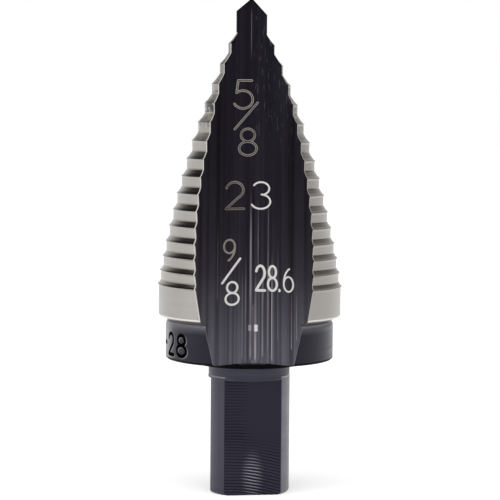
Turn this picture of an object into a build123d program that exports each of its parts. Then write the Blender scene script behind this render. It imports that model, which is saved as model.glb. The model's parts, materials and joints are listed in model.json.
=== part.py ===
from build123d import *
import math
import os

# A single-flute step drill, turned, milled and ground from one bar of tool steel.
# Millimetres. The origin is the middle of the shank's end face, +Z runs up the axis
# to the point, the flute faces -Y and the cutting lip is the flute's -X edge.

# Overall sizes
overall_length = 76.2
largest_diameter = 28.575

# Point: a short pilot, its flank ground on a tipped axis so that the lip leads
pilot_diameter = 4.72
point_half_angle = 46.0
point_tip_angle = 3.6  # the flank's axis leans this far away from the lip
point_length = 7.1  # apex to the corner of the first step

# Steps
step_count = 15
first_step_diameter = 7.16
first_pitch = 3.125  # corner to corner, next to the point
last_pitch = 2.15  # corner to corner, next to the largest step
ogive_radius = 152.0  # the step corners lie on an arc of this radius
shoulder_angle = 38.0  # half angle of the cone between two lands
shoulder_relief = 0.25  # axial fall of a shoulder from the lip side to the far side
last_land_length = 4.74
last_land_taper = 0.2  # the last land is this much smaller in radius at its foot

# Undercut, collar, boss and neck below the steps
undercut_angle = 22.0  # slope of the last land's underside
collar_setback = 1.33  # the collar's radius is this much inside the last land's
collar_height = 5.95
collar_round = 0.6
collar_foot_chamfer = 0.25
boss_diameter = 16.6  # low ring left under the collar
boss_height = 0.8
neck_length = 1.7
neck_setback = 0.05  # the neck's radius is this much inside the shank's
neck_bevel = 0.2

# Shank, with flats for the chuck jaws
shank_diameter = 12.7
shank_end_round = 0.45
flat_count = 3
flat_depth = 1.78  # from the shank's round to the middle of a flat
flat_turn = 8.0  # degrees from the flute's side round to the nearest flat
flat_stop = 0.25  # full round left between a flat and the neck bevel

# Flute: a rounded V, cut by a large wheel that lifts out through the collar
flute_root_radius = 7.0
flute_root_offset = 0.85  # the root lies this far towards +X
flute_past_axis = 0.3  # the root stops this far in front of the axis
lip_wall_angle = 34.0  # the wall that ends in the cutting lip, from the YZ plane at the root
heel_wall_angle = 36.5  # the opposite wall
flute_wall_radius = 120.0  # both walls are very slightly hollow
flute_wheel_radius = 62.0
flute_straight_length = 26.2  # from the apex to where the wheel starts to lift
flute_lift_angle = 60.0  # turn of the wheel's path that clears the collar

# Heights and radii that follow from the sizes above
pitch_change = (first_pitch - last_pitch) / (step_count - 2)
pitches = [first_pitch - i * pitch_change for i in range(step_count - 1)]
first_corner_z = overall_length - point_length
corner_heights = [first_corner_z - sum(pitches[:i]) for i in range(step_count)]
last_land_foot_z = corner_heights[-1] - last_land_length

pilot_radius = pilot_diameter / 2
land_radius = largest_diameter / 2
last_land_foot_radius = land_radius - last_land_taper
collar_radius = land_radius - collar_setback
collar_root_radius = collar_radius - collar_round
undercut_depth = last_land_foot_radius - collar_root_radius
undercut_height = undercut_depth * math.tan(math.radians(undercut_angle))
collar_top_z = last_land_foot_z - undercut_height
collar_foot_z = collar_top_z - collar_height
boss_radius = boss_diameter / 2
boss_foot_z = collar_foot_z - boss_height
shank_top_z = boss_foot_z - neck_length
shank_radius = shank_diameter / 2
neck_radius = shank_radius - neck_setback
flat_top_z = shank_top_z - neck_bevel - flat_stop


def ogive_radius_at(height):
    """Radius of the ogive at a height: an arc through the first and the last step corner."""
    first = Vector(first_step_diameter / 2, corner_heights[0])
    last = Vector(land_radius, corner_heights[-1])
    chord = last - first
    inward = Vector(chord.Y, -chord.X).normalized()
    centre = (first + last) / 2 + inward * math.sqrt(ogive_radius**2 - (chord.length / 2) ** 2)
    return centre.X + math.sqrt(ogive_radius**2 - (height - centre.Y) ** 2)


corner_radii = [ogive_radius_at(height) for height in corner_heights]


def grind_cone(apex_z, half_angle, lean):
    """Trim the top of the part in hand to a cone whose axis leans towards +X by some degrees."""
    wheel_plane = Plane((0, 0, apex_z), x_dir=Vector(1, 0, 0).rotate(Axis.Y, lean), z_dir=(0, -1, 0))
    reach = largest_diameter
    drop = reach / math.tan(math.radians(half_angle))
    with BuildSketch(wheel_plane) as wheel_sweep:
        with BuildLine():
            Polyline((0, 0), (reach, -drop), (reach, reach), (0, reach), close=True)
        make_face()
    cone_axis = Axis((0, 0, apex_z), wheel_plane.y_dir)
    revolve(wheel_sweep.sketch, axis=cone_axis, mode=Mode.SUBTRACT)


# The space that the flute's wheel sweeps: straight beside the steps, then rising on an arc
# out through the collar
with BuildPart() as flute_cutter:
    root_centre = Vector(flute_root_offset, -flute_past_axis - flute_root_radius)
    lip_side = Vector(-1, 0).rotate(Axis.Z, -lip_wall_angle) * flute_root_radius
    heel_side = Vector(1, 0).rotate(Axis.Z, heel_wall_angle) * flute_root_radius
    wheel_start = Plane.XY.offset(overall_length - flute_straight_length)
    with BuildSketch(wheel_start) as flute_section:
        with BuildLine():
            root = ThreePointArc(
                root_centre + lip_side,
                root_centre + Vector(0, flute_root_radius),
                root_centre + heel_side,
            )
            wall_turn = math.degrees(land_radius / flute_wall_radius)
            lip_wall = JernArc(root @ 0, (root % 0) * -1, flute_wall_radius, wall_turn)
            heel_wall = JernArc(root @ 1, root % 1, flute_wall_radius, -wall_turn)
            Line(lip_wall @ 1, heel_wall @ 1)
        make_face()
    extrude(amount=flute_straight_length)
    wheel_axis_y = -flute_past_axis - flute_wheel_radius
    wheel_axis = Axis((0, wheel_axis_y, wheel_start.origin.Z), (-1, 0, 0))
    revolve(flute_section.sketch, axis=wheel_axis, revolution_arc=flute_lift_angle)

with BuildPart() as step_drill:
    # Shank, neck, boss, collar and last land, turned as one profile
    with BuildSketch(Plane.XZ) as turned_section:
        with BuildLine():
            end_face = Line((0, 0), (shank_radius - shank_end_round, 0))
            end_round = JernArc(end_face @ 1, (1, 0), shank_end_round, 90)
            lower_outline = Polyline(
                end_round @ 1,
                (shank_radius, shank_top_z - neck_bevel),
                (neck_radius, shank_top_z),
                (neck_radius, boss_foot_z),
                (boss_radius, boss_foot_z),
                (boss_radius, collar_foot_z),
                (collar_radius - collar_foot_chamfer, collar_foot_z),
                (collar_radius, collar_foot_z + collar_foot_chamfer),
                (collar_radius, collar_top_z - collar_round),
            )
            collar_rim = JernArc(lower_outline @ 1, (0, 1), collar_round, 90)
            Polyline(
                collar_rim @ 1,
                (last_land_foot_radius, last_land_foot_z),
                (land_radius, corner_heights[-1]),
                (0, corner_heights[-1]),
                (0, 0),
            )
        make_face()
    revolve(axis=Axis.Z)

    # Steps, from the largest up: each shoulder is ground before the next land goes on it
    shoulder_cotangent = 1 / math.tan(math.radians(shoulder_angle))
    lands_above = corner_radii[-2::-1] + [pilot_radius]
    land_tops = corner_heights[-2::-1] + [overall_length]
    for land, corner_z, next_land, next_top in zip(
        corner_radii[::-1], corner_heights[::-1], lands_above, land_tops
    ):
        shoulder_height = (land - next_land) * shoulder_cotangent
        with BuildSketch(Plane.XY.offset(corner_z)):
            Circle(land)
        extrude(amount=shoulder_height + shoulder_relief)
        lean = math.degrees(shoulder_relief * math.sin(math.radians(shoulder_angle)) ** 2 / (2 * land))
        grind_cone(corner_z + land * shoulder_cotangent, shoulder_angle, lean)
        with BuildSketch(Plane.XY.offset(corner_z)):
            Circle(next_land)
        extrude(amount=next_top - corner_z)
    grind_cone(overall_length, point_half_angle, point_tip_angle)

    # Flute
    add(flute_cutter.part, mode=Mode.SUBTRACT)

    # Flats on the shank, stopping under the neck
    with BuildSketch():
        with PolarLocations(shank_radius - flat_depth, flat_count, start_angle=flat_turn - 90):
            Rectangle(shank_radius, shank_diameter, align=(Align.MIN, Align.CENTER))
    extrude(amount=flat_top_z, mode=Mode.SUBTRACT)

step_drill.part.label = "step_drill"
os.makedirs("parts", exist_ok=True)
export_step(step_drill.part, "parts/step_drill.step")
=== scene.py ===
"""The finish of a step drill: black oxide flute, collar and shank, bright ground steps.

The drill's body is one closed mesh. Its outline goes down the drill ring by ring at the sizes
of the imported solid, and the flute's surface is fitted between the ends of those rings.
Sizes are in millimetres until a mesh is made, which is in metres.
"""

import json
import logging
import math
from collections.abc import Callable
from dataclasses import dataclass, field, replace
from enum import Enum
from typing import ClassVar, NamedTuple

import bpy
import numpy as np
from mathutils import Matrix, Vector
from mathutils.geometry import delaunay_2d_cdt

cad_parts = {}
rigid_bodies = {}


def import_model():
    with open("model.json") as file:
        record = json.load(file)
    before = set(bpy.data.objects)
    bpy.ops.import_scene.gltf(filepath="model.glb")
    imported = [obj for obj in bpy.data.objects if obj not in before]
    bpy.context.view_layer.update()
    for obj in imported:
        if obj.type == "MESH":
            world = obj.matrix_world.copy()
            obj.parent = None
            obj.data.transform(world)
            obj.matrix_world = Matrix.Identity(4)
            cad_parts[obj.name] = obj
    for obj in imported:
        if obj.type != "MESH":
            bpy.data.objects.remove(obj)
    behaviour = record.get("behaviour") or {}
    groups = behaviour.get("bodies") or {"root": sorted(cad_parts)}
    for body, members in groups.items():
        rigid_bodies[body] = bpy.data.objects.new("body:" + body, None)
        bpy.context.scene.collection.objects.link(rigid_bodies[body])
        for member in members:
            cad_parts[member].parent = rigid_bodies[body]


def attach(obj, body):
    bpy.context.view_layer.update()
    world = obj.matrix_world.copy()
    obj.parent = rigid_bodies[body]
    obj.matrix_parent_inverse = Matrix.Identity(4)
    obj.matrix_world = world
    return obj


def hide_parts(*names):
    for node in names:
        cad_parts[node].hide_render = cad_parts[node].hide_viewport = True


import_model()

MM = 0.001
FULL_TURN = 2 * math.pi
NODE = "step_drill"
BODY = "root"
SHARP_ANGLE = math.radians(30)  # edges that bend more than this are shaded as sharp
RAMP_TOP = 80.0  # height at which a colour ramp up the drill ends
NOISE_LOW, NOISE_HIGH = 0.3, 0.7  # nearly all values of a noise lie between these
log = logging.getLogger("step_drill")

Socket = bpy.types.NodeSocket
Point = tuple[float, float, float]
X, Y, Z = range(3)

# Kinds of node that are used often, each with its settings
EASE = ("ShaderNodeMapRange", {"interpolation_type": "SMOOTHSTEP"})
TIMES = ("ShaderNodeMath", {"operation": "MULTIPLY"})
MORE = ("ShaderNodeMath", {"operation": "ADD"})
LESS = ("ShaderNodeMath", {"operation": "SUBTRACT"})
HIGHER = ("ShaderNodeMath", {"operation": "MAXIMUM"})
UNSIGNED = ("ShaderNodeMath", {"operation": "ABSOLUTE"})
NEAR = ("ShaderNodeMath", {"operation": "COMPARE"})
SCALED = ("ShaderNodeVectorMath", {"operation": "SCALE"})
TINT = ("ShaderNodeMix", {"data_type": "RGBA"})


def linear(hex_colour: str) -> tuple[float, float, float, float]:
    """Turn an sRGB hex colour into linear RGBA.

    Args:
        hex_colour: six hex digits after a hash sign.

    Returns:
        Red, green, blue and an alpha of 1, all linear.
    """
    channels = [int(hex_colour[i : i + 2], 16) / 255 for i in (1, 3, 5)]
    curve = [c / 12.92 if c <= 0.04045 else ((c + 0.055) / 1.055) ** 2.4 for c in channels]
    return (*curve, 1.0)


def halve(near: float, far: float, inside: Callable[[float], bool]) -> float:
    """Close in on the place between two others where a test stops being true.

    Args:
        near: a place where it is true.
        far: a place where it is false.
        inside: the test.

    Returns:
        The last place where it is true.
    """
    for _ in range(48):
        halfway = (near + far) / 2
        if inside(halfway):
            near = halfway
        else:
            far = halfway
    return near


def wrap(angle: float) -> float:
    """Bring an angle in radians to between minus pi and pi."""
    return (angle + math.pi) % FULL_TURN - math.pi


def link(name: str, data: bpy.types.ID) -> bpy.types.Object:
    """Put a mesh, a camera or a light into the scene.

    Args:
        name: the object's name.
        data: what it shows.

    Returns:
        The object.
    """
    piece = bpy.data.objects.new(name, data)
    bpy.context.scene.collection.objects.link(piece)
    return piece


class Region(Enum):
    """The differently finished areas of the drill, in the order of its material slots."""

    LAND = 0
    SHOULDER = 1
    FLUTE = 2
    HONED_EDGE_AND_HIGHLIGHT = 3
    COLLAR = 4
    WORN_EDGE_AND_HIGHLIGHT = 5
    NECK = 6
    SHANK = 7
    MILLED_FLAT = 8
    HEEL_EDGE_AND_HIGHLIGHT = 9
    # Near-black oxide on the point's edges, and painted shade under the collar
    DARK_EDGE_AND_SHADE = 10


@dataclass
class Stock:
    """Vertices and faces of a mesh in the making, in millimetres."""

    vertices: list[Point] = field(default_factory=list)
    faces: list[list[int]] = field(default_factory=list)
    regions: list[int] = field(default_factory=list)

    def point(self, x: float, y: float, z: float) -> int:
        """Add a vertex and give its number."""
        self.vertices.append((x, y, z))
        return len(self.vertices) - 1

    def face(self, corners: list[int], region: Region) -> None:
        """Add a face, leaving out corners that repeat.

        Args:
            corners: its vertices, anticlockwise from outside.
            region: its finish.
        """
        kept = [c for i, c in enumerate(corners) if c != corners[i - 1]]
        if len(set(kept)) == len(kept) >= 3:
            self.faces.append(kept)
            self.regions.append(region.value)

    def zip_rings(
        self, upper: list[tuple[float, int]], lower: list[tuple[float, int]], region: Region
    ) -> None:
        """Fill the band between two rings whose vertices are listed by angle.

        Args:
            upper: pairs of angle and vertex number, by rising angle.
            lower: the same for the ring below.
            region: the finish of the band.
        """
        same_angle = 1e-6
        i = j = 0
        while i < len(upper) - 1 or j < len(lower) - 1:
            next_upper = upper[i + 1][0] if i < len(upper) - 1 else math.inf
            next_lower = lower[j + 1][0] if j < len(lower) - 1 else math.inf
            last_i, last_j = i, j
            if next_upper <= next_lower + same_angle:
                i += 1
            if next_lower <= next_upper + same_angle:
                j += 1
            self.face([upper[last_i][1], lower[last_j][1], lower[j][1], upper[i][1]], region)

    def mesh(self, name: str) -> bpy.types.Mesh:
        """Make the mesh, in metres, smooth but for its sharp edges.

        Args:
            name: the mesh's name.

        Returns:
            The mesh.
        """
        mesh = bpy.data.meshes.new(name)
        mesh.from_pydata([tuple(c * MM for c in v) for v in self.vertices], [], self.faces)
        mesh.polygons.foreach_set("material_index", self.regions)
        mesh.validate()
        mesh.shade_smooth()
        mesh.set_sharp_from_angle(angle=SHARP_ANGLE)
        return mesh


@dataclass(frozen=True)
class FluteShape:
    """The rounded V that a large wheel grinds: straight at first, then lifting out on an arc.

    A point of the wheel's section is given by its arc length from the root's middle, which is
    positive towards the heel (+X) and negative towards the cutting lip (-X).

    Attributes:
        root_radius: radius of the V's root.
        root_offset: how far the root lies towards +X.
        past_axis: how far in front of the axis the root stops.
        lip_wall_angle: lean of the wall that ends in the lip, in degrees.
        heel_wall_angle: lean of the other wall.
        wall_radius: radius of the walls' slight hollow.
        wheel_radius: radius of the wheel.
        wheel_start: height at which the wheel starts to lift.
        reach: an arc length beyond either wall's end.
    """

    root_radius: float = 7.0
    root_offset: float = 0.85
    past_axis: float = 0.3
    lip_wall_angle: float = 34.0
    heel_wall_angle: float = 36.5
    wall_radius: float = 120.0
    wheel_radius: float = 62.0
    wheel_start: float = 50.0
    reach: float = 30.0

    def section(self, arc: float) -> tuple[float, float]:
        """Find a point of the wheel's section.

        Args:
            arc: its arc length from the root's middle.

        Returns:
            Its x, and its depth in front of the drill's axis.
        """
        side = -1.0 if arc < 0 else 1.0
        root_end = math.radians(90 - (self.lip_wall_angle if arc < 0 else self.heel_wall_angle))
        turn = abs(arc) / self.root_radius
        on_root = min(turn, root_end)
        turned = root_end + max(turn - root_end, 0) * self.root_radius / self.wall_radius
        wall_x = self.wall_radius * (math.sin(turned) - math.sin(root_end))
        wall_depth = self.wall_radius * (math.cos(root_end) - math.cos(turned))
        x = self.root_radius * math.sin(on_root) + wall_x
        depth = self.root_radius * (1 - math.cos(on_root)) + wall_depth
        return self.root_offset + side * x, self.past_axis + depth

    def spot(self, arc: float, height: float) -> Point:
        """Find a point of the ground flute.

        Args:
            arc: its arc length along the wheel's section.
            height: its height above the shank's end.

        Returns:
            Its x, y and z.
        """
        x, depth = self.section(arc)
        lift = max(self.wheel_start - height, 0)
        wheel_axis = self.past_axis + self.wheel_radius
        return x, math.sqrt((wheel_axis - depth) ** 2 - lift**2) - wheel_axis, height

    def edge(self, radius: float, height: float, side: int) -> float:
        """Find where a circle about the drill's axis meets the flute.

        Args:
            radius: the circle's radius.
            height: its height.
            side: -1 for the lip, 1 for the heel.

        Returns:
            The arc length of that point of the section.
        """
        return halve(
            self.middle(),
            side * self.reach,
            lambda arc: math.hypot(*self.spot(arc, height)[:2]) < radius,
        )

    def middle(self) -> float:
        """Give the arc length of the section's point nearest to the drill's axis."""
        lean = math.atan2(self.root_offset, self.past_axis + self.root_radius)
        return -self.root_radius * lean

    def arc_at(self, x: float) -> float:
        """Find the arc length of the section's point with a given x."""
        return halve(-self.reach, self.reach, lambda arc: self.section(arc)[0] < x)


@dataclass(frozen=True)
class Cone:
    """A ground cone whose axis leans towards +X, so that its lip side is the higher one."""

    apex: float
    half_angle: float
    lean: float = 0.0

    def height(self, radius: float, angle: float) -> float:
        """Find the cone's height above a point.

        Args:
            radius: the point's distance from the drill's axis.
            angle: its angle round the axis from +X, in radians.

        Returns:
            The height above the shank's end.
        """
        sine, cosine = math.sin(math.radians(self.lean)), math.cos(math.radians(self.lean))
        spread = math.cos(math.radians(self.half_angle))
        across = sine * math.cos(angle)
        square = cosine**2 - spread**2
        root = math.sqrt((cosine * across) ** 2 - square * (across**2 - spread**2))
        return self.apex - radius * (cosine * across + root) / square


@dataclass(frozen=True)
class Plateau:
    """A turned outline's corner at one height all round."""

    level: float

    def height(self, radius: float, angle: float) -> float:
        """Give the level, whatever the radius and angle."""
        return self.level


@dataclass
class Corner:
    """A corner of the turned outline, in order down the drill.

    Attributes:
        radius: distance from the axis.
        ground: what sets its height.
        below: the finish of the surface below it.
        rounding: radius of its rounded edge or fillet.
        bevel: width of the honed strip on the flute's side of the edge from here down.
    """

    radius: float
    ground: Cone | Plateau
    below: Region
    rounding: float = 0.0
    bevel: float = 0.21


@dataclass
class DrillSizes:
    """The turned sizes of the drill, in millimetres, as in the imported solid."""

    overall_length: float = 76.2
    largest_radius: float = 14.2875
    pilot_radius: float = 2.36
    point_half_angle: float = 46.0
    point_tip_angle: float = 3.6
    point_length: float = 7.1
    step_count: int = 15
    first_step_radius: float = 3.58
    first_pitch: float = 3.125
    last_pitch: float = 2.15
    ogive_radius: float = 152.0
    shoulder_angle: float = 38.0
    shoulder_relief: float = 0.25
    last_land_length: float = 4.74
    last_land_taper: float = 0.2
    undercut_angle: float = 22.0
    collar_setback: float = 1.33
    collar_height: float = 5.95
    collar_round: float = 0.6
    collar_foot_chamfer: float = 0.25
    boss_radius: float = 8.3
    boss_height: float = 0.8
    neck_length: float = 1.7
    neck_setback: float = 0.05
    neck_bevel: float = 0.2
    shank_radius: float = 6.35
    shank_end_round: float = 0.45
    flat_count: int = 3
    flat_depth: float = 1.78
    flat_turn: float = 8.0
    flat_stop: float = 0.25

    def __post_init__(self) -> None:
        """Work out the heights and radii that follow from the sizes."""
        change = (self.first_pitch - self.last_pitch) / (self.step_count - 2)
        self.heights = [self.overall_length - self.point_length]
        for i in range(self.step_count - 1):
            self.heights.append(self.heights[-1] - self.first_pitch + i * change)
        first = Vector((self.first_step_radius, self.heights[0]))
        last = Vector((self.largest_radius, self.heights[-1]))
        chord = last - first
        inward = Vector((chord.y, -chord.x)).normalized()
        leg = math.sqrt(self.ogive_radius**2 - (chord.length / 2) ** 2)
        centre = (first + last) / 2 + inward * leg
        self.radii = [
            centre.x + math.sqrt(self.ogive_radius**2 - (z - centre.y) ** 2) for z in self.heights
        ]
        self.last_foot_z = self.heights[-1] - self.last_land_length
        self.last_foot_radius = self.largest_radius - self.last_land_taper
        self.collar_radius = self.largest_radius - self.collar_setback
        root = self.collar_radius - self.collar_round
        undercut = (self.last_foot_radius - root) * math.tan(math.radians(self.undercut_angle))
        self.collar_top_z = self.last_foot_z - undercut
        self.collar_foot_z = self.collar_top_z - self.collar_height
        self.boss_foot_z = self.collar_foot_z - self.boss_height
        self.shank_top_z = self.boss_foot_z - self.neck_length
        self.neck_radius = self.shank_radius - self.neck_setback
        self.flat_top_z = self.shank_top_z - self.neck_bevel - self.flat_stop


class End(NamedTuple):
    """Where one end of a ring meets the flute.

    Attributes:
        angle: its angle round the axis.
        cut: the angle that the honed bevel takes off the land.
        arc: the bevel's inner edge, as an arc length along the flute's section.
        height: the height of both.
        inner: the bevel's inner edge, as a point.
        corner: the sharp corner that the bevel takes away.
    """

    angle: float
    cut: float
    arc: float
    height: float
    inner: Point
    corner: Point


class Bevel(NamedTuple):
    """The honed bevel at one end of a ring.

    Attributes:
        strip: its vertices from the land to the flute.
        arc: its inner edge, as an arc length along the flute's section.
        height: its height.
    """

    strip: tuple[int, int, int]
    arc: float
    height: float


@dataclass
class CuttingHead:
    """The point, the steps, the collar and the boss, with the flute ground through them.

    Attributes:
        sizes: the turned sizes.
        flute: the flute's shape.
        flank_radii: radii of the rings on the point's flank.
        flank_bevel: bevel beside the flank.
        pilot_round: rounding of the pilot's edge.
        pilot_bevel: bevel beside it.
        corner_round: rounding of a land's edge.
        shoulder_fillet: fillet where a shoulder runs into the land above.
        hollow: how far a shoulder sags in its middle.
        hollow_round: rounding of the sag.
        setback_at_top: how far the first land stands back under its edge.
        setback_at_foot: the same near the last land.
        setback_drop: the height over which it stands back.
        setback_round: rounding at the foot of that.
        foot_edge: width and height of the last land's lowest edge, painted near white as a painted
            highlight.
        rim_points: number of rings on the collar's rounded rim.
        boss_fillet: fillet between the collar and the boss.
        thin_bevel: bevel beside the undercut and the collar.
        faint_bevel: bevel beside the boss.
        full_bevel: a bevel that takes bevel_on_land off the land.
        bevel_on_land: how much that is.
        heel_bevel: the heel's bevel as a share of the lip's.
        top_bevel: the first step's bevel as a share of the full one.
        full_bevel_step: the step from which the bevel is full.
        heel_honed_step: the step from which the heel is honed.
        column_turn: angle between the columns of vertices, in degrees.
        rounding_steps: faces across a rounded edge.
        support: distance from an edge to the ring that keeps the face beside it flat.
        flute_cell: spacing of the flute's vertices.
        foot_points: number of vertices across the flute's foot.
    """

    sizes: DrillSizes
    flute: FluteShape = field(default_factory=FluteShape)
    flank_radii: tuple[float, ...] = (0.36, 0.5, 0.8, 1.3, 1.9, 2.15)
    flank_bevel: float = 0.25
    pilot_round: float = 0.04
    pilot_bevel: float = 0.2
    corner_round: float = 0.05
    shoulder_fillet: float = 0.25
    hollow: float = 0.12
    hollow_round: float = 0.4
    setback_at_top: float = 0.03
    setback_at_foot: float = 0.22
    setback_drop: float = 0.2
    setback_round: float = 0.12
    foot_edge: tuple[float, float] = (0.1, 0.16)
    rim_points: int = 8
    boss_fillet: float = 0.08
    thin_bevel: float = 0.12
    faint_bevel: float = 0.05
    full_bevel: float = 0.32
    bevel_on_land: float = 0.12
    heel_bevel: float = 0.5
    top_bevel: float = 0.5
    full_bevel_step: int = 9
    heel_honed_step: int = 3
    column_turn: float = 3.0
    rounding_steps: int = 3
    support: float = 0.12
    flute_cell: float = 0.4
    foot_points: int = 14

    def flank(self) -> Cone:
        """Give the cone of the point's flank."""
        s = self.sizes
        return Cone(s.overall_length, s.point_half_angle, s.point_tip_angle)

    def outline(self) -> list[Corner]:
        """List the outline's corners.

        Returns:
            The corners from the point's flank down to the boss's foot.
        """
        s = self.sizes
        dark = Region.DARK_EDGE_AND_SHADE
        corners = [Corner(s.pilot_radius, self.flank(), dark, self.pilot_round, self.pilot_bevel)]
        cotangent = 1 / math.tan(math.radians(s.shoulder_angle))
        bend = s.shoulder_relief * math.sin(math.radians(s.shoulder_angle)) ** 2
        growth = self.setback_at_foot - self.setback_at_top
        inner = s.pilot_radius
        for number, (radius, height) in enumerate(zip(s.radii, s.heights)):
            apex = height + radius * cotangent
            cone = Cone(apex, s.shoulder_angle, math.degrees(bend / (2 * radius)))
            setback = self.setback_at_top + growth * number / s.step_count
            sagged = replace(cone, apex=apex - self.hollow)
            dropped = replace(cone, apex=apex - self.setback_drop - setback * cotangent)
            corners += [
                Corner(inner, cone, Region.SHOULDER, self.shoulder_fillet),
                Corner((inner + radius) / 2, sagged, Region.SHOULDER, self.hollow_round),
                Corner(radius, cone, Region.LAND, self.corner_round),
                Corner(radius - setback, dropped, Region.LAND, self.setback_round),
            ]
            inner = radius - setback
        width, height = self.foot_edge
        thin, faint, foot = self.thin_bevel, self.faint_bevel, s.collar_foot_z
        corners += [
            # Painted highlight: the last land's lowest edge takes the near-white honed finish
            Corner(s.last_foot_radius, Plateau(s.last_foot_z + height), Region.HONED_EDGE_AND_HIGHLIGHT),
            Corner(s.last_foot_radius - width, Plateau(s.last_foot_z), Region.LAND, 0.0, thin),
        ]
        for turn in np.radians(np.linspace(0, 90, self.rim_points)):
            radius = s.collar_radius - s.collar_round + s.collar_round * math.sin(turn)
            level = Plateau(s.collar_top_z - s.collar_round * (1 - math.cos(turn)))
            corners.append(Corner(radius, level, Region.COLLAR, 0.0, thin))
        chamfer = s.collar_foot_chamfer
        corners += [
            # Painted shade: the collar's foot chamfer and the boss under it are near black, as they lie
            # in the collar's shadow
            Corner(s.collar_radius, Plateau(foot + chamfer), dark, self.corner_round, thin),
            Corner(s.collar_radius - chamfer, Plateau(foot), dark, self.corner_round, thin),
            Corner(s.boss_radius, Plateau(foot), dark, self.boss_fillet, faint),
            Corner(s.boss_radius, Plateau(s.boss_foot_z), dark, 0.0, faint),
        ]
        return corners

    def rings(self) -> list[tuple[Corner, Vector]]:
        """Round the outline's corners and add the rings that hold the lands flat.

        Returns:
            For each ring, its corner, and its offset in radius and height from that corner.
        """
        largest_share = 0.45  # of the faces beside a corner, that its rounding may take
        corners = self.outline()
        flat = [Vector((c.radius, c.ground.height(c.radius, math.pi / 2))) for c in corners]
        apex = Vector((0.0, self.sizes.overall_length))
        rings = []
        for i, corner in enumerate(corners):
            last = i + 1 == len(flat)
            above = flat[i - 1] if i else apex
            below = flat[i] - Vector((1.0, 0.0)) if last else flat[i + 1]
            inward, outward = above - flat[i], below - flat[i]
            reach = 0.0
            if corner.rounding:
                turn = math.pi - inward.angle(outward)
                reach = corner.rounding * math.tan(turn / 2)
                reach = min(reach, largest_share * inward.length, largest_share * outward.length)
            start, end = inward.normalized() * reach, outward.normalized() * reach
            room = 4 * self.support + 2 * reach
            if inward.length > room:
                rings.append((corner, start + inward.normalized() * self.support))
            for k in range(self.rounding_steps + 1 if reach else 1):
                t = k / self.rounding_steps
                rings.append((corner, start * (1 - t) ** 2 + end * t**2))
            if outward.length > room and not last:
                rings.append((corner, end + outward.normalized() * self.support))
        return rings

    def meet_flute(self, corner: Corner, offset: Vector, side: int) -> End:
        """Find where a ring meets the flute, and the honed bevel there.

        Args:
            corner: the ring's corner.
            offset: its offset in radius and height from that corner.
            side: -1 for the lip, 1 for the heel.

        Returns:
            That end of the ring.
        """
        s = self.sizes
        largest_share = 0.3  # of the land or of the flute, that a bevel may take
        radius = corner.radius + offset.x
        angle = math.pi / 2
        for _ in range(4):  # the ring's height and its end's angle settle together
            z = corner.ground.height(corner.radius, angle) + offset.y
            arc = self.flute.edge(radius, z, side)
            x, y, z = self.flute.spot(arc, z)
            angle = math.atan2(y, x)
        width = corner.bevel * (self.heel_bevel if side > 0 else 1.0)
        levels = (s.heights[self.full_bevel_step], s.heights[0])
        width *= np.interp(z, levels, (1.0, self.top_bevel))
        width = min(width, largest_share * abs(arc - self.flute.middle()))
        cut = min(self.bevel_on_land * width / self.full_bevel, largest_share * radius)
        arc -= side * width
        return End(angle, cut / radius, arc, z, self.flute.spot(arc, z), (x, y, z))

    def bevel(self, stock: Stock, rim: int, end: End) -> Bevel:
        """Add the bevel at one end of a ring, rounded a little between its edges.

        Args:
            stock: the mesh in the making.
            rim: the ring's last vertex.
            end: where that end meets the flute.

        Returns:
            The bevel.
        """
        edge_share, corner_share = 0.4, 0.2
        inner = stock.point(*end.inner)
        middle = [
            edge_share * (a + b) + corner_share * c
            for a, b, c in zip(end.inner, stock.vertices[rim], end.corner)
        ]
        return Bevel((rim, stock.point(*middle), inner), end.arc, end.height)

    def build(self, stock: Stock) -> list[tuple[float, int]]:
        """Add the head to a mesh.

        Args:
            stock: the mesh in the making.

        Returns:
            The closed edge of the boss's foot: pairs of angle and vertex number.
        """
        clearance = 0.01  # least angle between a ring's end and its next column
        columns = np.radians(np.arange(-180 + self.column_turn, 360, self.column_turn))
        apex = stock.point(0.0, 0.0, self.sizes.overall_length)
        flank, here = self.flank(), Vector((0.0, 0.0))
        rings = [
            (Corner(radius, flank, Region.DARK_EDGE_AND_SHADE, 0, self.flank_bevel), here)
            for radius in self.flank_radii
        ]
        above, finish, banks = [], Region.DARK_EDGE_AND_SHADE, []
        for corner, offset in rings + self.rings():
            radius = corner.radius + offset.x
            ends = {side: self.meet_flute(corner, offset, side) for side in (-1, 1)}
            first = ends[1].angle + ends[1].cut
            last = ends[-1].angle - ends[-1].cut
            if last < first:
                last += FULL_TURN
            inside = columns[(columns > first + clearance) & (columns < last - clearance)]
            ring = []
            for angle in (first, *inside, last):
                z = corner.ground.height(corner.radius, angle) + offset.y
                x, y = radius * math.cos(angle), radius * math.sin(angle)
                ring.append((angle, stock.point(x, y, z)))
            rims = {1: ring[0][1], -1: ring[-1][1]}
            bank = {side: self.bevel(stock, rim, ends[side]) for side, rim in rims.items()}
            if not banks:
                for a, b in zip(ring, ring[1:]):
                    stock.face([apex, a[1], b[1]], corner.below)
                across = [*bank[-1].strip, *bank[1].strip[::-1]]
                stock.face([apex, *across], Region.DARK_EDGE_AND_SHADE)
            else:
                stock.zip_rings(above, ring, finish)
                for side in (-1, 1):
                    a, b = banks[-1][side].strip, bank[side].strip
                    honing = self.edge_finish(side, bank[side].height)
                    for k in (0, 1):
                        quad = [a[k], a[k + 1], b[k + 1], b[k]]
                        stock.face(quad if side > 0 else quad[::-1], honing)
            above, finish = ring, corner.below
            banks.append(bank)
        return self.grind_flute(stock, banks, above)

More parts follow.
